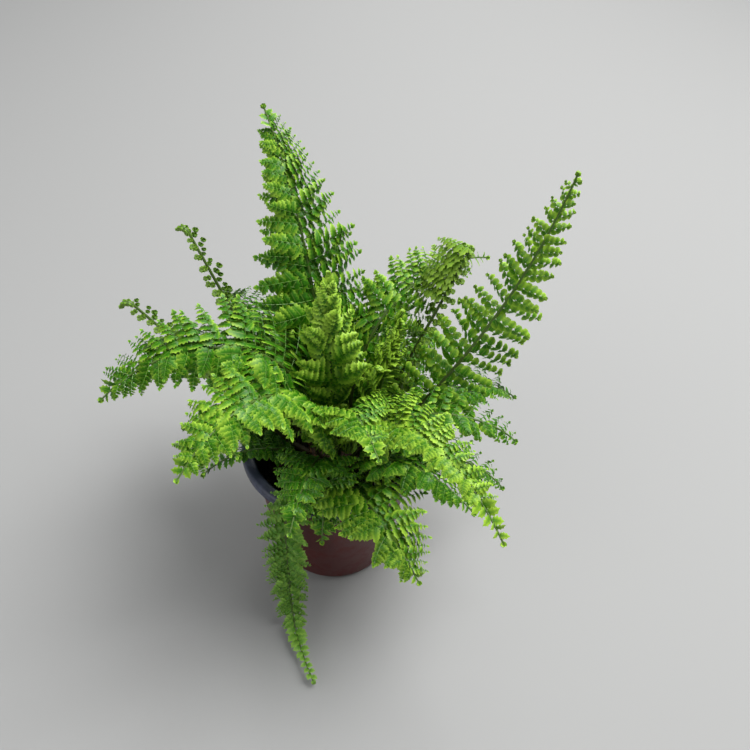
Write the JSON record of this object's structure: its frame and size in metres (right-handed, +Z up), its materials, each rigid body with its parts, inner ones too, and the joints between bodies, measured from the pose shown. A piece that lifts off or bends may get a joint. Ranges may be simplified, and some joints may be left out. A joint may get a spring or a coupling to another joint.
{
  "type": "potted fern",
  "caption": "Small bushy sword fern with ruffled, twice-divided fronds, growing in a round tapered plastic nursery pot with a rolled lip.",
  "frame": {"origin": "centre of the pot's underside, on the surface the pot stands on", "axes": "+Z up along the pot's axis; -Y is the side the picture looks at, with +X to its right"},
  "size_m": [0.1324, 0.1313, 0.1507],
  "materials": {
    "pot_plastic": "thermoformed sheet, dark terracotta outside and black inside, slight sheen",
    "peat_mix": "damp dark peat with bark fibres and a few perlite crumbs",
    "crown_scales": "papery brown scales over green stalk bases",
    "frond_green": "thin leaf, satin, mid green with lighter yellow-green edges",
    "shaded_frond_green": "thin leaf, satin, darker green",
    "young_frond_green": "thin leaf buds on a dark green stalk"
  },
  "bodies": {
    "root": {"pot": "pot_plastic", "potting_mix": "peat_mix", "crown": "crown_scales", "inner_frond_1": "frond_green", "inner_frond_2": "frond_green", "inner_frond_3": "frond_green", "inner_frond_4": "frond_green", "inner_frond_5": "frond_green", "middle_frond_1": "frond_green", "middle_frond_2": "frond_green", "middle_frond_3": "frond_green", "middle_frond_4": "frond_green", "middle_frond_5": "frond_green", "middle_frond_6": "frond_green", "middle_frond_7": "frond_green", "outer_frond_1": "frond_green", "outer_frond_2": "frond_green", "outer_frond_3": "frond_green", "outer_frond_4": "frond_green", "outer_frond_5": "frond_green", "outer_frond_6": "frond_green", "outer_frond_7": "frond_green", "outer_frond_8": "frond_green", "outer_frond_9": "frond_green", "heart_frond_1": "frond_green", "heart_frond_2": "frond_green", "heart_frond_3": "frond_green", "heart_frond_4": "frond_green", "heart_frond_5": "frond_green", "hanging_frond": "shaded_frond_green", "young_frond_1": "young_frond_green", "young_frond_2": "young_frond_green", "young_frond_3": "young_frond_green"}
  },
  "joints": []
}
